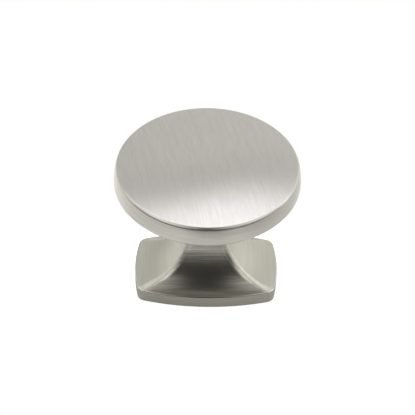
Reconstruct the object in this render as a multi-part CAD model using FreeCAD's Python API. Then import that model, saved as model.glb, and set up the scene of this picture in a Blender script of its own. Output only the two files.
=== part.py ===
# Cabinet knob: one die-cast piece with a domed round head on a waisted neck,
# which sweeps out through four coves to a bowed rectangular foot.
#
# Frame: +Z is up, away from the door. The origin is the centre of the foot's flat
# underside, on the axis of the screw hole. X runs along the foot's longer side.
# All sizes are in millimetres.
import FreeCAD
import Part
import math
import os
from collections import namedtuple

Vector = FreeCAD.Vector

# Head: a round disc with a crowned face, and a rounded shoulder between face and side
HEAD_DIAMETER = 32.0  # of the side where it would meet the underside
HEAD_SIDE_TAPER = 1.5  # degrees that the side draws in by, towards the face
HEAD_EDGE_HEIGHT = 3.98  # underside to the crisp edge of the face
HEAD_DOME_RISE = 1.12  # crown of the face above that edge
HEAD_SHOULDER_RADIUS = 1.2
HEAD_SHOULDER_SWEEP = 60.0  # degrees from the side: the rest is the face's crisp edge
HEAD_UNDER_CHAMFER = 0.5

# Foot: a thin plate whose four sides are bowed outwards in plan
FOOT_WIDTH = 25.4  # along X, between the middles of the bowed sides
FOOT_DEPTH = 16.4  # along Y, between the middles of the bowed sides
FOOT_SIDE_BOW_RADIUS = 28.0  # plan radius of the two short sides
FOOT_FRONT_BOW_RADIUS = 44.0  # plan radius of the two long sides
FOOT_CORNER_RADIUS = 1.6
FOOT_THICKNESS = 2.5
FOOT_TOP_CHAMFER = 0.1  # the eased edge under the ends of the coves
FOOT_BOTTOM_CHAMFER = 0.2

# Neck: its waist, and the coves that run down to the foot and up to the head
NECK_WIDTH = 6.6
NECK_DEPTH = 6.6
NECK_RIDGE_RADIUS = 0.9
LOWER_COVE_HEIGHT = 11.4
LOWER_COVE_SWEEP = 80.0  # degrees of its ellipse: it meets the foot's edge on a slope
UPPER_COVE_HEIGHT = 8.3
UPPER_COVE_SWEEP = 70.0  # it meets the head at an angle
UPPER_COVE_WIDTH = 12.8  # where the neck meets the head's underside
UPPER_COVE_DEPTH = 12.8
UPPER_RIDGE_RADIUS = 3.0
COVE_SECTIONS = 10  # sections lofted along each cove, from waist to end

# Screw hole: blind, from the underside, for a No. 8-32 machine screw
HOLE_DIAMETER = 4.2  # across the roots of its thread
HOLE_DEPTH = 11.0
HOLE_POINT_ANGLE = 118.0
HOLE_MOUTH_CHAMFER = 0.5

# Heights that follow from the sizes above
WAIST_Z = FOOT_THICKNESS + LOWER_COVE_HEIGHT
HEAD_UNDERSIDE_Z = WAIST_Z + UPPER_COVE_HEIGHT
HEAD_EDGE_Z = HEAD_UNDERSIDE_Z + HEAD_EDGE_HEIGHT

QUADRANTS = ((1, 1), (-1, 1), (-1, -1), (1, -1))

# A rectangle with bowed sides, seen in plan
Outline = namedtuple("Outline", "half_x half_y side_bow front_bow corner")

FOOT = Outline(
    FOOT_WIDTH / 2,
    FOOT_DEPTH / 2,
    FOOT_SIDE_BOW_RADIUS,
    FOOT_FRONT_BOW_RADIUS,
    FOOT_CORNER_RADIUS,
)
WAIST = Outline(
    NECK_WIDTH / 2,
    NECK_DEPTH / 2,
    FOOT_SIDE_BOW_RADIUS,
    FOOT_FRONT_BOW_RADIUS,
    NECK_RIDGE_RADIUS,
)
NECK_TOP = Outline(
    UPPER_COVE_WIDTH / 2,
    UPPER_COVE_DEPTH / 2,
    FOOT_SIDE_BOW_RADIUS,
    FOOT_FRONT_BOW_RADIUS,
    UPPER_RIDGE_RADIUS,
)


def inset(outline, distance):
    """The outline moved inwards by the same distance all round."""
    return Outline(*(size - distance for size in outline))


def corner_centre(outline):
    """Centre of the corner round that touches a side arc and a front arc from inside."""
    side_centre = outline.half_x - outline.side_bow
    front_centre = outline.half_y - outline.front_bow
    side_reach = outline.side_bow - outline.corner
    front_reach = outline.front_bow - outline.corner
    gap = math.hypot(side_centre, front_centre)
    along = (side_reach**2 - front_reach**2 + gap**2) / (2 * gap)
    across = math.sqrt(side_reach**2 - along**2)
    unit_x = -side_centre / gap
    unit_y = front_centre / gap
    return (
        side_centre + along * unit_x - across * unit_y,
        along * unit_y + across * unit_x,
    )


def touch_point(centre, through, radius):
    """The point at that radius from a centre, on the line through another point."""
    reach = math.hypot(through[0] - centre[0], through[1] - centre[1])
    return (
        centre[0] + (through[0] - centre[0]) * radius / reach,
        centre[1] + (through[1] - centre[1]) * radius / reach,
    )


def line(start, end):
    """A straight edge of the head's profile, between (x, z) points."""
    return Part.LineSegment(Vector(start[0], 0, start[1]), Vector(end[0], 0, end[1])).toShape()


def on_circle(centre, radius, angle):
    """The (x, z) point at an angle round a centre."""
    return centre[0] + radius * math.cos(angle), centre[1] + radius * math.sin(angle)


def arc(centre, radius, start, end):
    """A curved edge of the head's profile, between two angles round its (x, z) centre."""
    places = [on_circle(centre, radius, angle) for angle in (start, (start + end) / 2, end)]
    return Part.Arc(*(Vector(x, 0, z) for x, z in places)).toShape()


def outline_wire(outline, z):
    """The closed wire of an outline at height z: four bowed sides and four corner rounds."""
    corner = corner_centre(outline)
    side_end = touch_point((outline.half_x - outline.side_bow, 0), corner, outline.side_bow)
    front_end = touch_point((0, outline.half_y - outline.front_bow), corner, outline.front_bow)
    middle = ((side_end[0] + front_end[0]) / 2, (side_end[1] + front_end[1]) / 2)
    corner_middle = touch_point(corner, middle, outline.corner)

    def point(place, quadrant):
        return Vector(place[0] * quadrant[0], place[1] * quadrant[1], z)

    edges = []
    for index, quadrant in enumerate(QUADRANTS):
        following = QUADRANTS[(index + 1) % len(QUADRANTS)]
        turning_to_front = quadrant[0] == quadrant[1]
        start, end = (side_end, front_end) if turning_to_front else (front_end, side_end)
        bow_middle = (0, outline.half_y) if turning_to_front else (outline.half_x, 0)
        edges.append(
            Part.Arc(
                point(start, quadrant), point(corner_middle, quadrant), point(end, quadrant)
            ).toShape()
        )
        edges.append(
            Part.Arc(
                point(end, quadrant), point(bow_middle, quadrant), point(end, following)
            ).toShape()
        )
    return Part.Wire(edges)


def between(narrow, wide, share):
    """The outline part of the way from a narrow one to a wide one."""
    return Outline(*(a + (b - a) * share for a, b in zip(narrow, wide)))


def cove_wires(end_outline, end_z, sweep):
    """Sections of a cove from the waist, which it leaves upright, along an ellipse to its end."""
    wires = []
    whole = math.radians(sweep)
    for step in range(COVE_SECTIONS + 1):
        angle = whole * step / COVE_SECTIONS
        spread = (1 - math.cos(angle)) / (1 - math.cos(whole))
        rise = (end_z - WAIST_Z) * math.sin(angle) / math.sin(whole)
        wires.append(outline_wire(between(WAIST, end_outline, spread), WAIST_Z + rise))
    return wires


def foot_plate():
    """The foot's plate, with its top and bottom edges eased."""
    plate = Part.Face(outline_wire(FOOT, 0)).extrude(Vector(0, 0, FOOT_THICKNESS))
    top = [edge for edge in plate.Edges if edge.BoundBox.ZMin > FOOT_THICKNESS / 2]
    plate = plate.makeChamfer(FOOT_TOP_CHAMFER, top)
    bottom = [edge for edge in plate.Edges if edge.BoundBox.ZMax < FOOT_THICKNESS / 2]
    return plate.makeChamfer(FOOT_BOTTOM_CHAMFER, bottom)


def neck():
    """The neck with both coves, lofted from the foot's top to the head's underside."""
    foot_top = inset(FOOT, FOOT_TOP_CHAMFER)
    lower = cove_wires(foot_top, FOOT_THICKNESS, LOWER_COVE_SWEEP)
    upper = cove_wires(NECK_TOP, HEAD_UNDERSIDE_Z, UPPER_COVE_SWEEP)
    return Part.makeLoft(lower[::-1] + upper[1:], True)


def head():
    """The head: a turned disc with a round shoulder, and a crown whose face is part of a ball."""
    radius = HEAD_DIAMETER / 2
    taper = math.radians(HEAD_SIDE_TAPER)

    # The shoulder's round touches the side and ends at the edge of the face.
    edge_angle = taper + math.radians(HEAD_SHOULDER_SWEEP)
    round_z = HEAD_EDGE_Z - HEAD_SHOULDER_RADIUS * math.sin(edge_angle)
    side_x = radius - (round_z - HEAD_UNDERSIDE_Z) * math.tan(taper)
    shoulder = (side_x - HEAD_SHOULDER_RADIUS / math.cos(taper), round_z)
    face_edge = on_circle(shoulder, HEAD_SHOULDER_RADIUS, edge_angle)
    side_high = on_circle(shoulder, HEAD_SHOULDER_RADIUS, taper)

    centre_low = (0, HEAD_UNDERSIDE_Z)
    under_low = (radius - HEAD_UNDER_CHAMFER, HEAD_UNDERSIDE_Z)
    side_low = (
        radius - HEAD_UNDER_CHAMFER * math.tan(taper),
        HEAD_UNDERSIDE_Z + HEAD_UNDER_CHAMFER,
    )
    # The crown stands in a seat as wide as the face.
    seat_edge = (face_edge[0], round_z)
    seat_centre = (0, round_z)
    profile = Part.Wire(
        [
            line(centre_low, under_low),
            line(under_low, side_low),
            line(side_low, side_high),
            arc(shoulder, HEAD_SHOULDER_RADIUS, taper, edge_angle),
            line(face_edge, seat_edge),
            line(seat_edge, seat_centre),
            line(seat_centre, centre_low),
        ]
    )
    disc = Part.Face(profile).revolve(Vector(0, 0, 0), Vector(0, 0, 1), 360)

    ball_radius = (face_edge[0] ** 2 + HEAD_DOME_RISE**2) / (2 * HEAD_DOME_RISE)
    ball_z = HEAD_EDGE_Z + HEAD_DOME_RISE - ball_radius
    ball = Part.makeSphere(ball_radius, Vector(0, 0, ball_z), Vector(-1, 0, 0))
    crown_height = HEAD_EDGE_HEIGHT + HEAD_DOME_RISE
    crown = Part.makeCylinder(face_edge[0], crown_height, Vector(0, 0, round_z))
    return disc.fuse(crown.common(ball))


def screw_hole():
    """The space of the blind hole: mouth chamfer, bore and drill point."""
    radius = HOLE_DIAMETER / 2
    mouth = Part.makeCone(radius + HOLE_MOUTH_CHAMFER, radius, HOLE_MOUTH_CHAMFER)
    bore = Part.makeCylinder(radius, HOLE_DEPTH)
    point_height = radius / math.tan(math.radians(HOLE_POINT_ANGLE / 2))
    drill_point = Part.makeCone(radius, 0, point_height, Vector(0, 0, HOLE_DEPTH))
    return bore.fuse([mouth, drill_point])


def knob_body():
    """The whole knob as one casting."""
    casting = head().fuse([neck(), foot_plate()])
    return casting.cut(screw_hole()).removeSplitter()


os.makedirs("parts", exist_ok=True)
body = knob_body()
body.exportStep("parts/knob_body.step")
print("knob_body:", body.ShapeType, "solids", len(body.Solids), "faces", len(body.Faces),
      "valid", body.isValid(), "volume", round(body.Volume, 1), "mm3")
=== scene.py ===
"""A cabinet knob in brushed nickel, on a plain pale floor in a plain studio.

The knob is one casting, so it is one mesh. It is built as a stack of closed rings that
runs from the crown of the head over its rim, in to the neck, down the coves to the foot,
and up the screw hole. Its sizes are in millimetres, and are those of the CAD solid that
it stands for, but for the fine rounds of its edges and ridges. The thread inside the
hole is a second, small mesh.
"""

import math
from collections import namedtuple

import bpy
from mathutils import Matrix, Vector


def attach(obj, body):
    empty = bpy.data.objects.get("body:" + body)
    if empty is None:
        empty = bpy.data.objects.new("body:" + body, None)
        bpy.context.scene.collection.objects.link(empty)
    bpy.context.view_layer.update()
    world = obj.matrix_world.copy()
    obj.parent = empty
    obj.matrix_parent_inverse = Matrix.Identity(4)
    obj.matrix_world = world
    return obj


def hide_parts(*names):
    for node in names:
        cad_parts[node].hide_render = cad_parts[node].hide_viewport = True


MM = 0.001

# Head: the shoulder's tight bend runs between its two angles, in degrees up from level
HEAD_RADIUS = 16.0  # of the side where it would meet the underside
HEAD_SIDE_TAPER = 1.5  # degrees that the side draws in by, towards the face
HEAD_FACE_RADIUS = 15.3
HEAD_UNDERSIDE_Z = 22.2
HEAD_FACE_EDGE_Z = 26.18
HEAD_DOME_RISE = 1.115
HEAD_SHOULDER_RADIUS = 0.8
HEAD_SHOULDER_ANGLES = (61.5, 13.0)
HEAD_CREASE_RADIUS = 0.15
HEAD_UNDER_EDGE_RADIUS = 0.9

# Foot: half sizes in plan, and the radii of its bowed sides
FOOT_HALF_WIDTH = 12.7
FOOT_HALF_DEPTH = 8.2
SIDE_BOW_RADIUS = 28.0
FRONT_BOW_RADIUS = 44.0
FOOT_CORNER_RADIUS = 1.6
FOOT_THICKNESS = 2.5
FOOT_TOP_EDGE_RADIUS = 0.3
FOOT_BOTTOM_EDGE_RADIUS = 0.2

# Neck: each cove follows an ellipse from the waist, through its sweep in degrees
WAIST_HALF_WIDTH = 3.3
WAIST_RIDGE_RADIUS = 1.4
WAIST_Z = 13.9
NECK_TOP_HALF_WIDTH = 6.4
NECK_TOP_RIDGE_RADIUS = 3.0
UPPER_COVE_SWEEP = 70.0
LOWER_COVE_SWEEP = 80.0

# Screw hole
HOLE_RADIUS = 2.1
HOLE_DEPTH = 11.0
HOLE_POINT_HEIGHT = 1.26
HOLE_MOUTH_CHAMFER = 0.5

# Thread: a ridge on the hole's wall, sunk a little into it
THREAD_PITCH = 0.794
THREAD_DEPTH = 0.43
THREAD_START = 0.9
THREAD_END = 9.6
THREAD_HALF_ROOT = 0.46 * THREAD_PITCH
THREAD_HALF_CREST = 0.07 * THREAD_PITCH
THREAD_SINK = 0.04
THREAD_RUN_OUT = 0.5  # turns over which it rises at each end
THREAD_END_SHARE = 0.05  # of its depth, which it keeps at its ends

# How finely the meshes are divided
SIDE_STEPS = 40
CORNER_STEPS = 12
RING_SIZE = 4 * (SIDE_STEPS + CORNER_STEPS)
RING_STEPS = [(i, (i + 1) % RING_SIZE) for i in range(RING_SIZE)]  # a point and the next
LOWER_COVE_STEPS = 64
UPPER_COVE_STEPS = 28
ROUND_STEPS = 8
DOME_STEPS = 36
THREAD_STEPS_PER_TURN = 48

# Where the rings lie across a straight stretch: those by its ends keep its shading flat
STRAIGHT_SHARES = (0.02, 0.25, 0.5, 0.75, 0.98, 1.0)
FOOT_SIDE_SHARES = (0.03, 0.5, 0.97, 1.0)
HOLE_POINT_SHARES = (0.1, 0.5, 0.9)

# Floor: it lies a hair below the foot, reaches in under its edge by the overlap, and is
# open from there on
FLOOR_RADIUS = 21.0
FLOOR_Z = -0.03
FLOOR_OVERLAP = 0.15
FLOOR_COLOUR = (0.75, 0.75, 0.75, 1)
FLOOR_LIFT = 0.7  # light added to it for the camera
FLOOR_MIRRORED_LIFT = 0.01  # light added to it where the knob mirrors it

# Camera, fitted to the photograph's outlines: angles in degrees, clip in metres
CAMERA_ELEVATION = 42.77
CAMERA_AZIMUTH = -0.24
CAMERA_ROLL = 0.96
CAMERA_DISTANCE = 296.3
CAMERA_AIM_Z = 10.86
CAMERA_SHIFT_RIGHT = 0.16
CAMERA_SHIFT_UP = 4.11
CAMERA_LENS = 146.12
CAMERA_SENSOR = 36.0
CAMERA_CLIP = (0.01, 10)

# Nickel: cooler on the head's face, warmer on the neck's sides and the foot, and darker on
# the neck's front and back and under the head, which is painted shade
NICKEL = (0.53, 0.512, 0.472)
COOL_NICKEL = (0.53, 0.512, 0.488)
WARM_NICKEL = (0.53, 0.512, 0.452)
PAINTED_SHADE_NICKEL = (0.46, 0.44, 0.39)

# A brushed finish: streaks is how much the tone varies from line to line, grain how many
# lines there are per millimetre, length how long they are, wander how far they stray from
# straight, and bump how deep they are, the last three in millimetres
Finish = namedtuple("Finish", "name tint roughness anisotropy streaks grain length wander bump")

# The finish of each region of the knob
FINISHES = {
    "face": Finish("face_brushed", COOL_NICKEL, 0.25, 0.86, 0.05, 4.6, 2.6, 0.3, 0.0016),
    "rim_edge": Finish("rim_edge_worn", NICKEL, 0.30, 0.4, 0.05, 3.8, 5.0, 0.2, 0.003),
    "rim": Finish("rim_brushed", NICKEL, 0.36, 0.6, 0.08, 3.8, 5.0, 0.2, 0.004),
    # Under the head and on the neck's front and back coves, the darker tint is painted shade
    "underside": Finish("underside_brushed_painted_shade", PAINTED_SHADE_NICKEL, 0.38, 0.6, 0.05, 3.0, 8.0, 0.5, 0.004),
    "cove_front": Finish(
        "cove_front_brushed_painted_shade", PAINTED_SHADE_NICKEL, 0.24, 0.75, 0.24, 2.8, 8.0, 0.2, 0.018
    ),
    "cove_side": Finish("cove_side_brushed", WARM_NICKEL, 0.34, 0.85, 0.06, 3.0, 9.0, 0.3, 0.004),
    "plate_edge": Finish("plate_edge_worn", NICKEL, 0.18, 0.3, 0.05, 3.5, 7.0, 0.2, 0.003),
    "plate": Finish("plate_brushed", WARM_NICKEL, 0.32, 0.7, 0.06, 3.5, 7.0, 0.2, 0.005),
    "base": Finish("base_ground", NICKEL, 0.45, 0.6, 0.08, 3.0, 8.0, 0.5, 0.006),
    "hole": Finish("hole_wall", NICKEL, 0.45, 0.3, 0.05, 4.0, 3.0, 0.2, 0.004),
}
REGIONS = list(FINISHES)

# Direction of the brushing on the head's face, in degrees from the Y axis towards +X
FACE_BRUSH_ANGLE = 13.0

# Noise over the brush map: its cells per millimetre across the lines and along them
Noise = namedtuple("Noise", "across along detail seed")
STRAY_NOISE = Noise(0.1, 0.16, 1, 5.3)
PATCH_NOISE = Noise(0.12, 0.1, 2, 23.9)
NOISE_ROUGHNESS = 0.5
NOISE_SEED_SKEW = 1.7

# The brushing's fine lines, and the coarse ones mixed into them
FINE_DETAIL = 1.5
FINE_SEED = 3.1
COARSE_DETAIL = 1
COARSE_SEED = 11.7
COARSE_WIDTH = 3  # times a fine line's
COARSE_SHORTNESS = 0.4  # a fine line's length divided by a coarse one's
COARSE_SHARE = 0.4
LINE_RANGE = (0.3, 0.7)  # of the noise, which spans the whole change in tone and roughness
PATCH_LEVELS = (0.97, 1.03)
ROUGHNESS_LEVELS = (1.08, 0.92)

# The studio's light is set by direction, a unit vector where x is right, y back and z up.
# Its side is x without the sign, and its swing is the angle in degrees up from the back
# horizon, over the top and down to the front one. A pair with one of these in its name is
# where a change starts and ends. Levels are radiance, where 1 is white, and a tilt is how
# much brighter the right is than the middle.

# Swing waves from side to side, so that the overhead light starts lower on the right
SWING_WAVE = 0.065
SWING_WAVE_RATE = 8.5

# The pale light all round, which changes at the back
BACK_LEVEL = 0.88
BACK_CHANGE = (0.02, -0.12)
BACK_CHANGE_SWING = (38, 46)
BACK_TILT = 0.10
BACK_TILT_X = (-0.9, 0.9)

# Two glows low at its sides
GLOW = 0.46
GLOW_SIDE = (0.58, 0.76)
GLOW_TILT = -0.4
GLOW_TILT_X = (-0.7, 0.7)
GLOW_Z = (0.15, 0.45)
GLOW_Y = (-0.1, 0.4)

# A dip low at the left, and one high at the right
LEFT_DIP = 0.24
LEFT_DIP_X = (-0.52, -0.3)
LEFT_DIP_Z = (0.48, 0.62)
RIGHT_DIP = 0.28
RIGHT_DIP_X = (0.26, 0.42)
RIGHT_DIP_Z = (0.45, 0.6)

# The pale light is dimmer low down, from the sides forward
WINGS_DIP = 0.3
WINGS_Y = (-0.2, 0.5)
WINGS_Z = (0.3, 0.6)

# The bright light overhead, weaker at the left
OVERHEAD_GAIN = 1.2
OVERHEAD_START_SWING = (47.5, 57)
OVERHEAD_END_SWING = (81, 95)
OVERHEAD_LEFT = 0.7
OVERHEAD_LEFT_X = (-0.45, 0.0)

# The dark front, which is turned a little aside and narrower low down
DARKNESS = 0.93
DARK_SWING = (92, 104)
DARK_TURN = 8
DARK_SIDE = (0.87, 0.99)
DARK_NARROWING = 0.16
DARK_NARROWING_Z = (-0.15, 0.45)

# The light at its sides, in two steps
FRONT_SIDES = 1.0
FRONT_SIDES_SIDE = (0.09, 0.35)
FRONT_ENDS = 0.6
FRONT_ENDS_SIDE = (0.33, 0.65)
FRONT_Z = (0.15, 0.6)

# The ground's light, from below, which rises at the sides
GROUND_LEVELS = (1.07, 1.2)
GROUND_Y = (-0.6, 0.6)
GROUND_SIDES = 0.8
GROUND_SIDES_SIDE = (0.4, 0.85)
GROUND_TILT = -0.08
GROUND_TILT_X = (-0.9, 0.9)
GROUND_Z = (-0.40, -0.25)
GROUND_RISE = 0.16
GROUND_RISE_SIDE = (0.15, 0.55)

# The light's blue, where its red and green are 1
STUDIO_BLUE = 0.97
OVERHEAD_BLUE = 0.07

Outline = namedtuple("Outline", "half_x half_y side_bow front_bow corner")
Ring = namedtuple("Ring", "points region")
Arc = namedtuple("Arc", "x z radius")

FOOT = Outline(
    FOOT_HALF_WIDTH, FOOT_HALF_DEPTH, SIDE_BOW_RADIUS, FRONT_BOW_RADIUS, FOOT_CORNER_RADIUS
)
WAIST = Outline(
    WAIST_HALF_WIDTH, WAIST_HALF_WIDTH, SIDE_BOW_RADIUS, FRONT_BOW_RADIUS, WAIST_RIDGE_RADIUS
)
NECK_TOP = Outline(
    NECK_TOP_HALF_WIDTH,
    NECK_TOP_HALF_WIDTH,
    SIDE_BOW_RADIUS,
    FRONT_BOW_RADIUS,
    NECK_TOP_RIDGE_RADIUS,
)


def part_way(start, end, share):
    return start + (end - start) * share


def inset(outline, distance):
    """The outline moved inwards by the same distance all round."""
    return Outline(*(size - distance for size in outline))


def between(narrow, wide, share):
    """The outline part of the way from a narrow one to a wide one."""
    return Outline(*(part_way(a, b, share) for a, b in zip(narrow, wide)))


def crossing(a, b, reach_a, reach_b, side):
    """The point at those distances from a and b, on the left (1) or right (-1) of a to b."""
    gap = math.hypot(b[0] - a[0], b[1] - a[1])
    unit_x, unit_y = (b[0] - a[0]) / gap, (b[1] - a[1]) / gap
    along = (reach_a**2 - reach_b**2 + gap**2) / (2 * gap)
    across = side * math.sqrt(reach_a**2 - along**2)
    return a[0] + along * unit_x - across * unit_y, a[1] + along * unit_y + across * unit_x


def arc_points(centre, start, end, radius, steps):
    """Points along an arc, from one angle to just before the other."""
    angles = (start + (end - start) * i / steps for i in range(steps))
    return [
        (centre[0] + radius * math.cos(a), centre[1] + radius * math.sin(a)) for a in angles
    ]


def outline_points(outline):
    """Points round a bowed rectangle, anticlockwise from the middle of its +X side."""
    side = (outline.half_x - outline.side_bow, 0)
    front = (0, outline.half_y - outline.front_bow)
    side_reach = outline.side_bow - outline.corner
    front_reach = outline.front_bow - outline.corner
    corner = crossing(side, front, side_reach, front_reach, 1)
    side_end = math.atan2(corner[1], corner[0] - side[0])
    front_end = math.atan2(corner[1] - front[1], corner[0])
    half = SIDE_STEPS // 2
    quarter = arc_points(side, 0, side_end, outline.side_bow, half)
    quarter += arc_points(corner, side_end, front_end, outline.corner, CORNER_STEPS)
    quarter += arc_points(front, front_end, math.pi / 2, outline.front_bow, half)
    top = (0, outline.half_y)
    right_to_left = quarter + [top] + [(-x, y) for x, y in quarter[:0:-1]]
    return right_to_left + [(-x, -y) for x, y in right_to_left]


def circle_points(radius):
    """Points evenly round a circle, anticlockwise from +X."""
    return arc_points((0, 0), 0, 2 * math.pi, radius, RING_SIZE)


def at_height(points, z):
    return [(x, y, z) for x, y in points]


def level_rings(outer, inner, z, region):
    """Rings across a level face, from its outer edge in to its inner one."""
    rings = []
    for share in STRAIGHT_SHARES:
        points = [
            (part_way(a[0], b[0], share), part_way(a[1], b[1], share))
            for a, b in zip(outer, inner)
        ]
        rings.append(Ring(at_height(points, z), region))
    return rings


def on_arc(arc, angle):
    """The point of an arc of the head's profile at an angle up from level."""
    return arc.x + arc.radius * math.cos(angle), arc.z + arc.radius * math.sin(angle)


def arc_through(point, radius, angle):
    """The arc of that radius that has the point at that angle."""
    return Arc(point[0] - radius * math.cos(angle), point[1] - radius * math.sin(angle), radius)


def head_side_x(z):
    """The radius of the head's side at a height."""
    return HEAD_RADIUS - (z - HEAD_UNDERSIDE_Z) * math.tan(math.radians(HEAD_SIDE_TAPER))


def head_rings():
    """The head's rings, from near the crown over the rim to the neck."""
    taper = math.radians(HEAD_SIDE_TAPER)
    edge_angle, turn_angle = (math.radians(a) for a in HEAD_SHOULDER_ANGLES)
    dome_radius = (HEAD_FACE_RADIUS**2 + HEAD_DOME_RISE**2) / (2 * HEAD_DOME_RISE)
    dome = Arc(0, HEAD_FACE_EDGE_Z + HEAD_DOME_RISE - dome_radius, dome_radius)

    # The shoulder bends tightly by the crisp edge of the face, then slowly down to the side
    face_edge = (HEAD_FACE_RADIUS, HEAD_FACE_EDGE_Z)
    tight = arc_through(face_edge, HEAD_SHOULDER_RADIUS, edge_angle)
    turn = on_arc(tight, turn_angle)
    left_to_bend = head_side_x(turn[1]) - turn[0]
    slow_radius = left_to_bend * math.cos(taper) / (1 - math.cos(turn_angle - taper))
    slow = arc_through(turn, slow_radius, turn_angle)

    # The crease round eases that edge: it touches the dome and the shoulder from within
    crease_x, crease_z = crossing(
        (dome.x, dome.z),
        (tight.x, tight.z),
        dome_radius - HEAD_CREASE_RADIUS,
        HEAD_SHOULDER_RADIUS - HEAD_CREASE_RADIUS,
        -1,
    )
    crease = Arc(crease_x, crease_z, HEAD_CREASE_RADIUS)
    dome_end = math.atan2(crease.z - dome.z, crease.x)
    tight_start = math.atan2(crease.z - tight.z, crease.x - tight.x)

    under_z = HEAD_UNDERSIDE_Z + HEAD_UNDER_EDGE_RADIUS
    under_x = head_side_x(under_z) - HEAD_UNDER_EDGE_RADIUS / math.cos(taper)
    under = Arc(under_x, under_z, HEAD_UNDER_EDGE_RADIUS)

    rings = []

    def ring(radius, z, region):
        rings.append(Ring(at_height(circle_points(radius), z), region))

    def bend(arc, start, end, steps, region):
        for i in range(1, steps + 1):
            ring(*on_arc(arc, start + (end - start) * i / steps), region)

    bend(dome, math.pi / 2, dome_end, DOME_STEPS, "face")
    bend(crease, dome_end, tight_start, ROUND_STEPS // 2, "rim_edge")
    bend(tight, tight_start, turn_angle, ROUND_STEPS, "rim_edge")
    bend(slow, turn_angle, taper, ROUND_STEPS, "rim")
    high = on_arc(slow, taper)
    low = on_arc(under, taper)
    for share in STRAIGHT_SHARES:
        ring(part_way(high[0], low[0], share), part_way(high[1], low[1], share), "rim")
    bend(under, taper, -math.pi / 2, ROUND_STEPS, "rim")
    underside = level_rings(
        circle_points(under.x), outline_points(NECK_TOP), HEAD_UNDERSIDE_Z, "underside"
    )
    return rings + underside


def cove_spread(angle, sweep):
    """How far a cove has spread from the waist at an angle, as a share of the whole."""
    return (1 - math.cos(angle)) / (1 - math.cos(sweep))


def cove_rings(end, end_z, sweep, steps):
    """Rings of a cove, from just past the waist to its end, along an ellipse."""
    rings = []
    for i in range(1, steps + 1):
        angle = sweep * i / steps
        rise = (end_z - WAIST_Z) * math.sin(angle) / math.sin(sweep)
        points = outline_points(between(WAIST, end, cove_spread(angle, sweep)))
        rings.append(Ring(at_height(points, WAIST_Z + rise), "cove"))
    return rings


def cove_end_slope():
    """How far the lower coves' surface faces up where they end, in radians from level."""
    sweep = math.radians(LOWER_COVE_SWEEP)
    width = (FOOT_HALF_DEPTH - WAIST_HALF_WIDTH) / (1 - math.cos(sweep))
    height = (WAIST_Z - FOOT_THICKNESS) / math.sin(sweep)
    return math.atan2(width * math.sin(sweep), height * math.cos(sweep))


def neck_rings():
    """The neck's rings, from just below the head to the foot's top."""
    upper_sweep = math.radians(UPPER_COVE_SWEEP)
    lower_sweep = math.radians(LOWER_COVE_SWEEP)
    end = inset(FOOT, FOOT_TOP_EDGE_RADIUS * (1 - math.cos(cove_end_slope())))
    upper = cove_rings(NECK_TOP, HEAD_UNDERSIDE_Z, upper_sweep, UPPER_COVE_STEPS)
    waist = Ring(at_height(outline_points(WAIST), WAIST_Z), "cove")
    lower = cove_rings(end, FOOT_THICKNESS, lower_sweep, LOWER_COVE_STEPS)
    return upper[-2::-1] + [waist] + lower


def foot_edge_rings(radius, centre_z, start, end, region):
    """Rings round an edge of the foot, between two angles up from level."""
    rings = []
    for i in range(1, ROUND_STEPS + 1):
        angle = start + (end - start) * i / ROUND_STEPS
        points = outline_points(inset(FOOT, radius * (1 - math.cos(angle))))
        rings.append(Ring(at_height(points, centre_z + radius * math.sin(angle)), region))
    return rings


def foot_rings():
    """The foot's rings, round its edge and in to the mouth of the screw hole."""
    slope = cove_end_slope()
    high = FOOT_THICKNESS - FOOT_TOP_EDGE_RADIUS * math.sin(slope)
    low = FOOT_BOTTOM_EDGE_RADIUS
    rings = foot_edge_rings(FOOT_TOP_EDGE_RADIUS, high, slope, 0, "plate_edge")
    for share in FOOT_SIDE_SHARES:
        rings.append(Ring(at_height(outline_points(FOOT), part_way(high, low, share)), "plate"))
    rings += foot_edge_rings(FOOT_BOTTOM_EDGE_RADIUS, low, 0, -math.pi / 2, "plate")
    outer = outline_points(inset(FOOT, FOOT_BOTTOM_EDGE_RADIUS))
    inner = circle_points(HOLE_RADIUS + HOLE_MOUTH_CHAMFER)
    return rings + level_rings(outer, inner, 0, "base")


def hole_rings():
    """The screw hole's rings, from its chamfer up to near its drill point."""
    wall = circle_points(HOLE_RADIUS)
    rings = [Ring(at_height(wall, HOLE_MOUTH_CHAMFER), "hole")]
    for share in STRAIGHT_SHARES:
        z = part_way(HOLE_MOUTH_CHAMFER, HOLE_DEPTH, share)
        rings.append(Ring(at_height(wall, z), "hole"))
    for share in HOLE_POINT_SHARES:
        z = HOLE_DEPTH + HOLE_POINT_HEIGHT * share
        rings.append(Ring(at_height(circle_points(HOLE_RADIUS * (1 - share)), z), "hole"))
    return rings


def knob_region(region, centre):
    """The brushed region of a face: coves are split into front and side by the ridges."""
    if region != "cove":
        return region
    x, y, z = centre
    ridge = WAIST
    if z < WAIST_Z:
        sweep = math.radians(LOWER_COVE_SWEEP)
        drop = min(1, (WAIST_Z - z) / (WAIST_Z - FOOT_THICKNESS))
        angle = math.asin(drop * math.sin(sweep))
        ridge = between(WAIST, FOOT, cove_spread(angle, sweep))
    return "cove_side" if abs(x) * ridge.half_y > abs(y) * ridge.half_x else "cove_front"


def brush_place(region, point):
    """Where a point lies on its region's brushing: (across the lines, along them)."""
    x, y, z = point
    if region in ("face", "underside"):
        tilt = math.radians(FACE_BRUSH_ANGLE)
        return x * math.cos(tilt) + y * math.sin(tilt), y * math.cos(tilt) - x * math.sin(tilt)
    if region == "cove_front":
        return z - abs(y), x
    if region == "cove_side":
        return z - abs(x), y
    if region == "base":
        return y, x
    return z, math.hypot(x, y) * math.atan2(y, x)


def brush_places(region, points):
    """The places of a face's points, kept together where the brushing runs full circle."""
    places = [brush_place(region, point) for point in points]
    lengths = [along for _, along in places]
    turn = 2 * math.pi * max(math.hypot(x, y) for x, y, _ in points)
    if max(lengths) - min(lengths) > turn / 2:
        places = [(across, along + turn if along < 0 else along) for across, along in places]
    return places


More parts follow.
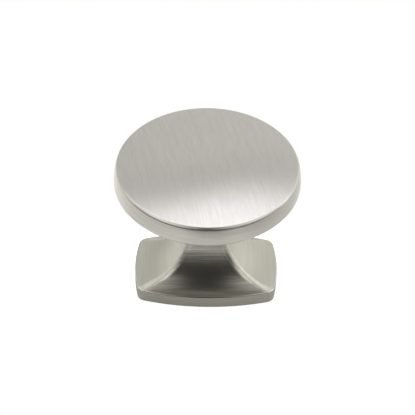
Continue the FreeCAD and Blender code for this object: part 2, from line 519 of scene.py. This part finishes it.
def ring_mesh(name, rings, first, last):
    """A closed mesh from rings, with a pole before the first ring and after the last."""
    vertices = [first] + [point for ring in rings for point in ring.points] + [last]
    faces = [(0, 1 + i, 1 + j) for i, j in RING_STEPS]
    kinds = [rings[0].region] * RING_SIZE
    for level, ring in enumerate(rings[1:]):
        a = 1 + level * RING_SIZE
        b = a + RING_SIZE
        faces += [(a + i, b + i, b + j, a + j) for i, j in RING_STEPS]
        kinds += [ring.region] * RING_SIZE
    a = 1 + (len(rings) - 1) * RING_SIZE
    faces += [(a + j, a + i, a + RING_SIZE) for i, j in RING_STEPS]
    kinds += [rings[-1].region] * RING_SIZE

    mesh = bpy.data.meshes.new(name)
    mesh.from_pydata([Vector(v) * MM for v in vertices], [], faces)
    brush = mesh.uv_layers.new(name="brush")
    for polygon, kind in zip(mesh.polygons, kinds):
        region = knob_region(kind, polygon.center / MM)
        polygon.material_index = REGIONS.index(region)
        polygon.use_smooth = True
        places = brush_places(region, [vertices[v] for v in polygon.vertices])
        for loop, place in zip(polygon.loop_indices, places):
            brush.data[loop].uv = place
    mesh.validate()
    return mesh


def thread_mesh():
    """The screw thread: a helical ridge on the wall of the hole."""
    turns = (THREAD_END - THREAD_START) / THREAD_PITCH
    steps = round(turns * THREAD_STEPS_PER_TURN)
    vertices = []
    for i in range(steps + 1):
        share = i / steps
        angle = 2 * math.pi * turns * share
        z = part_way(THREAD_START, THREAD_END, share)
        risen = min(1, min(share, 1 - share) * turns / THREAD_RUN_OUT)
        root = HOLE_RADIUS + THREAD_SINK
        crest = HOLE_RADIUS - THREAD_DEPTH * max(risen, THREAD_END_SHARE)
        for radius, offset in (
            (root, -THREAD_HALF_ROOT),
            (crest, -THREAD_HALF_CREST),
            (crest, THREAD_HALF_CREST),
            (root, THREAD_HALF_ROOT),
        ):
            point = (radius * math.cos(angle), radius * math.sin(angle), z + offset)
            vertices.append(Vector(point) * MM)
    corners = [(0, 1), (1, 2), (2, 3), (3, 0)]
    faces = [
        (a + j, a + k, a + 4 + k, a + 4 + j) for a in range(0, 4 * steps, 4) for j, k in corners
    ]
    last = 4 * steps
    faces += [(3, 2, 1, 0), (last, last + 1, last + 2, last + 3)]
    mesh = bpy.data.meshes.new("screw_thread")
    mesh.from_pydata(vertices, [], faces)
    mesh.uv_layers.new(name="brush")
    mesh.validate()
    return mesh


def blank_tree(owner):
    """The emptied node tree of a material or world."""
    owner.use_nodes = True
    owner.node_tree.nodes.clear()
    return owner.node_tree


def feed(tree, socket, value):
    """Sets an input to a number, or links it to another node's output."""
    if isinstance(value, bpy.types.NodeSocket):
        tree.links.new(value, socket)
    else:
        socket.default_value = value


def node(tree, kind, *values, operation=None, **inputs):
    """A shader node with its inputs fed in order, or by name with _ for a space."""
    made = tree.nodes.new(kind)
    if operation:
        made.operation = operation
    for socket, value in zip(made.inputs, values):
        feed(tree, socket, value)
    for name, value in inputs.items():
        feed(tree, made.inputs[name.replace("_", " ")], value)
    return made


def number(tree, operation, *values):
    """The result of a sum over numbers and other nodes' outputs."""
    return node(tree, "ShaderNodeMath", *values, operation=operation).outputs[0]


def mapped(tree, value, spread, levels):
    """A node that takes a value's place in a spread to the same place between two levels."""
    return node(
        tree,
        "ShaderNodeMapRange",
        Value=value,
        From_Min=spread[0],
        From_Max=spread[1],
        To_Min=levels[0],
        To_Max=levels[1],
    )


def noise(tree, place, pattern):
    """Noise over a place on the brush map, from 0 to 1."""
    mapping = node(
        tree,
        "ShaderNodeMapping",
        Vector=place,
        Scale=(pattern.across, pattern.along, 1),
        Location=(pattern.seed, pattern.seed * NOISE_SEED_SKEW, pattern.seed),
    )
    texture = node(
        tree,
        "ShaderNodeTexNoise",
        Vector=mapping.outputs["Vector"],
        Scale=1,
        Detail=pattern.detail,
        Roughness=NOISE_ROUGHNESS,
    )
    return texture.outputs["Fac"]


def brushed_nickel(finish):
    """Brushed nickel whose lines run along the second axis of the brush map."""
    material = bpy.data.materials.new(finish.name)
    tree = blank_tree(material)
    brush = tree.nodes.new("ShaderNodeUVMap")
    brush.uv_map = "brush"
    tangent = tree.nodes.new("ShaderNodeTangent")
    tangent.direction_type = "UV_MAP"
    tangent.uv_map = "brush"

    wandering = (-finish.wander, finish.wander)
    strays = mapped(tree, noise(tree, brush.outputs["UV"], STRAY_NOISE), (0, 1), wandering)
    sideways = node(tree, "ShaderNodeCombineXYZ", X=strays.outputs["Result"])
    strayed = node(
        tree,
        "ShaderNodeVectorMath",
        brush.outputs["UV"],
        sideways.outputs["Vector"],
        operation="ADD",
    )
    place = strayed.outputs["Vector"]

    fine = Noise(finish.grain, 1 / finish.length, FINE_DETAIL, FINE_SEED)
    coarse = Noise(
        finish.grain / COARSE_WIDTH, COARSE_SHORTNESS / finish.length, COARSE_DETAIL, COARSE_SEED
    )
    mix = node(
        tree,
        "ShaderNodeMix",
        Factor=COARSE_SHARE,
        A=noise(tree, place, fine),
        B=noise(tree, place, coarse),
    )
    lines = mix.outputs["Result"]

    tone = mapped(tree, lines, LINE_RANGE, (1 - finish.streaks, 1 + finish.streaks))
    patches = mapped(tree, noise(tree, place, PATCH_NOISE), (0, 1), PATCH_LEVELS)
    level = number(tree, "MULTIPLY", tone.outputs["Result"], patches.outputs["Result"])
    colour = node(tree, "ShaderNodeVectorMath", finish.tint, operation="SCALE", Scale=level)
    rough = mapped(tree, lines, LINE_RANGE, [finish.roughness * a for a in ROUGHNESS_LEVELS])
    relief = node(tree, "ShaderNodeBump", Height=lines, Strength=1, Distance=finish.bump * MM)

    shader = node(
        tree,
        "ShaderNodeBsdfPrincipled",
        Metallic=1,
        Anisotropic=finish.anisotropy,
        Base_Color=colour.outputs["Vector"],
        Roughness=rough.outputs["Result"],
        Normal=relief.outputs["Normal"],
        Tangent=tangent.outputs["Tangent"],
    )
    node(tree, "ShaderNodeOutputMaterial", Surface=shader.outputs["BSDF"])
    return material


def add(obj):
    bpy.context.scene.collection.objects.link(obj)
    return obj


def make_knob():
    rings = head_rings() + neck_rings() + foot_rings() + hole_rings()
    crown = (0, 0, HEAD_FACE_EDGE_Z + HEAD_DOME_RISE)
    drill_point = (0, 0, HOLE_DEPTH + HOLE_POINT_HEIGHT)
    knob = add(bpy.data.objects.new("knob", ring_mesh("knob", rings, crown, drill_point)))
    for region in REGIONS:
        knob.data.materials.append(brushed_nickel(FINISHES[region]))
    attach(knob, "root")
    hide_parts("knob_body")
    helix = add(bpy.data.objects.new("screw_thread", thread_mesh()))
    helix.data.materials.append(knob.data.materials[REGIONS.index("hole")])
    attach(helix, "root")


def floor_material():
    """A pale floor that shows white to the camera, and nothing from below."""
    material = bpy.data.materials.new("floor_pale")
    tree = blank_tree(material)
    path = node(tree, "ShaderNodeLightPath")
    shown = number(tree, "MULTIPLY", path.outputs["Is Camera Ray"], FLOOR_LIFT)
    lift = number(
        tree, "MULTIPLY_ADD", path.outputs["Is Glossy Ray"], FLOOR_MIRRORED_LIFT, shown
    )
    diffuse = node(tree, "ShaderNodeBsdfDiffuse", Color=FLOOR_COLOUR)
    emission = node(tree, "ShaderNodeEmission", Strength=lift)
    pale = node(tree, "ShaderNodeAddShader", diffuse.outputs[0], emission.outputs[0])
    geometry = node(tree, "ShaderNodeNewGeometry")
    clear = node(tree, "ShaderNodeBsdfTransparent")
    seen = node(
        tree,
        "ShaderNodeMixShader",
        geometry.outputs["Backfacing"],
        pale.outputs[0],
        clear.outputs[0],
    )
    node(tree, "ShaderNodeOutputMaterial", Surface=seen.outputs[0])
    return material


def make_floor():
    """A round pale floor, open under the foot, that keeps the knob's soft shadow.

    From below, it leaves the foot's underside and the screw hole in view.
    """
    outer = at_height(circle_points(FLOOR_RADIUS), FLOOR_Z)
    inner = at_height(outline_points(inset(FOOT, FLOOR_OVERLAP)), FLOOR_Z)
    faces = [(i, j, RING_SIZE + j, RING_SIZE + i) for i, j in RING_STEPS]
    mesh = bpy.data.meshes.new("floor")
    mesh.from_pydata([Vector(v) * MM for v in outer + inner], [], faces)
    mesh.materials.append(floor_material())
    add(bpy.data.objects.new("floor", mesh))


class Studio:
    """The studio's light by direction, as nodes of the world's tree."""

    def __init__(self, tree):
        self.tree = tree
        where = node(tree, "ShaderNodeTexCoord")
        parts = node(tree, "ShaderNodeSeparateXYZ", Vector=where.outputs["Generated"])
        self.x, self.y, self.z = (parts.outputs[name] for name in "XYZ")
        self.side = number(tree, "ABSOLUTE", self.x)
        above = number(tree, "MAXIMUM", self.z, 0)
        wave = number(tree, "SINE", self.times(self.x, SWING_WAVE_RATE))
        self.swing = self.plus(
            number(tree, "ARCTAN2", above, self.y), self.times(wave, SWING_WAVE)
        )
        self.overhead = self.times(
            self.ramp_swing(OVERHEAD_START_SWING, 0, 1),
            self.ramp_swing(OVERHEAD_END_SWING, 1, 0),
            self.ramp(self.x, OVERHEAD_LEFT_X, OVERHEAD_LEFT, 1),
        )

    def times(self, first, *others):
        for other in others:
            first = number(self.tree, "MULTIPLY", first, other)
        return first

    def plus(self, first, second):
        return number(self.tree, "ADD", first, second)

    def less(self, first, second):
        return number(self.tree, "SUBTRACT", first, second)

    def blend(self, first, second, share):
        return self.plus(self.times(first, self.less(1, share)), self.times(second, share))

    def ramp(self, value, spread, start, end):
        """A smooth change from one level to another as a value passes through a spread."""
        made = mapped(self.tree, value, spread, (start, end))
        made.interpolation_type = "SMOOTHSTEP"
        return made.outputs["Result"]

    def ramp_swing(self, degrees, start, end):
        return self.ramp(self.swing, [math.radians(a) for a in degrees], start, end)

    def tilt(self, spread, amount):
        return self.ramp(self.x, spread, 1 - amount, 1 + amount)

    def back(self):
        """The pale light all round, with the glows and dips at the back."""
        glow = self.times(
            self.ramp(self.side, GLOW_SIDE, 0, GLOW),
            self.tilt(GLOW_TILT_X, GLOW_TILT),
            self.times(self.ramp(self.z, GLOW_Z, 1, 0), self.ramp(self.y, GLOW_Y, 0, 1)),
        )
        dip = self.plus(
            self.times(
                self.ramp(self.x, LEFT_DIP_X, LEFT_DIP, 0), self.ramp(self.z, LEFT_DIP_Z, 1, 0)
            ),
            self.times(
                self.ramp(self.x, RIGHT_DIP_X, 0, RIGHT_DIP), self.ramp(self.z, RIGHT_DIP_Z, 0, 1)
            ),
        )
        plain = self.plus(BACK_LEVEL, self.ramp_swing(BACK_CHANGE_SWING, *BACK_CHANGE))
        pale = self.plus(self.less(plain, dip), glow)
        wings = self.times(
            self.ramp(self.y, WINGS_Y, WINGS_DIP, 0), self.ramp(self.z, WINGS_Z, 1, 0)
        )
        return self.times(pale, self.tilt(BACK_TILT_X, BACK_TILT), self.less(1, wings))

    def front(self):
        """The light at the sides of the dark front, and how far that front covers."""
        light = self.times(
            self.plus(
                self.ramp(self.side, FRONT_SIDES_SIDE, 0, FRONT_SIDES),
                self.ramp(self.side, FRONT_ENDS_SIDE, 0, FRONT_ENDS),
            ),
            self.ramp(self.z, FRONT_Z, 0, 1),
        )
        turn = math.radians(DARK_TURN)
        across = self.plus(self.times(self.x, math.cos(turn)), self.times(self.y, math.sin(turn)))
        narrowed = self.plus(
            number(self.tree, "ABSOLUTE", across),
            self.ramp(self.z, DARK_NARROWING_Z, DARK_NARROWING, 0),
        )
        cover = self.times(
            self.ramp_swing(DARK_SWING, 0, DARKNESS), self.ramp(narrowed, DARK_SIDE, 1, 0)
        )
        return light, cover

    def ground(self):
        """The light from below, and how far it covers."""
        light = self.times(
            self.ramp(self.y, GROUND_Y, *GROUND_LEVELS),
            self.ramp(self.side, GROUND_SIDES_SIDE, 1, GROUND_SIDES),
            self.tilt(GROUND_TILT_X, GROUND_TILT),
        )
        rise = self.ramp(self.side, GROUND_RISE_SIDE, 0, GROUND_RISE)
        return light, self.ramp(self.less(self.z, rise), GROUND_Z, 1, 0)

    def level(self):
        lit = self.plus(self.back(), self.times(self.overhead, OVERHEAD_GAIN))
        return self.blend(self.blend(lit, *self.front()), *self.ground())

    def blue(self):
        return self.plus(STUDIO_BLUE, self.times(self.overhead, OVERHEAD_BLUE))


def make_world():
    """A studio of soft light that shows the camera plain white.

    It is bright overhead, pale behind the knob and below it, and dark behind the camera.
    """
    world = bpy.data.worlds.new("studio")
    bpy.context.scene.world = world
    tree = blank_tree(world)
    studio = Studio(tree)
    to_camera = node(tree, "ShaderNodeLightPath").outputs["Is Camera Ray"]
    level = node(tree, "ShaderNodeMix", Factor=to_camera, A=studio.level(), B=1)
    blue = node(tree, "ShaderNodeMix", Factor=to_camera, A=studio.blue(), B=1)
    colour = node(tree, "ShaderNodeCombineColor", Red=1, Green=1, Blue=blue.outputs["Result"])
    background = node(
        tree,
        "ShaderNodeBackground",
        Color=colour.outputs["Color"],
        Strength=level.outputs["Result"],
    )
    node(tree, "ShaderNodeOutputWorld", Surface=background.outputs[0])


def make_camera():
    """The camera that the photograph's outlines were fitted with."""
    elevation = math.radians(CAMERA_ELEVATION)
    azimuth = math.radians(CAMERA_AZIMUTH)
    roll = math.radians(CAMERA_ROLL)
    back = Vector(
        (
            math.sin(azimuth) * math.cos(elevation),
            -math.cos(azimuth) * math.cos(elevation),
            math.sin(elevation),
        )
    )
    level_right = Vector((math.cos(azimuth), math.sin(azimuth), 0))
    level_up = back.cross(level_right)
    right = math.cos(roll) * level_right + math.sin(roll) * level_up
    up = math.cos(roll) * level_up - math.sin(roll) * level_right
    aim = Vector((0, 0, CAMERA_AIM_Z))
    aim += right * CAMERA_SHIFT_RIGHT + up * CAMERA_SHIFT_UP
    data = bpy.data.cameras.new("camera")
    data.lens = CAMERA_LENS
    data.sensor_width = CAMERA_SENSOR
    data.clip_start, data.clip_end = CAMERA_CLIP
    camera = add(bpy.data.objects.new("camera", data))
    place = Matrix((right, up, back)).transposed().to_4x4()
    place.translation = (aim + back * CAMERA_DISTANCE) * MM
    camera.matrix_world = place
    bpy.context.scene.camera = camera


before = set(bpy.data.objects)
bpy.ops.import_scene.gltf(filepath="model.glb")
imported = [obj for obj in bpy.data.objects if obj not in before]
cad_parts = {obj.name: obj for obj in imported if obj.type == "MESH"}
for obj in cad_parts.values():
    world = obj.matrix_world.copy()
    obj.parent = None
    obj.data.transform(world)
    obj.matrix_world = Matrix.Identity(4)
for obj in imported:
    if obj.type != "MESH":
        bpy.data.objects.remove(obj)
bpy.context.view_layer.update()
make_knob()
make_floor()
make_world()
make_camera()
bpy.context.scene.view_settings.view_transform = "Standard"
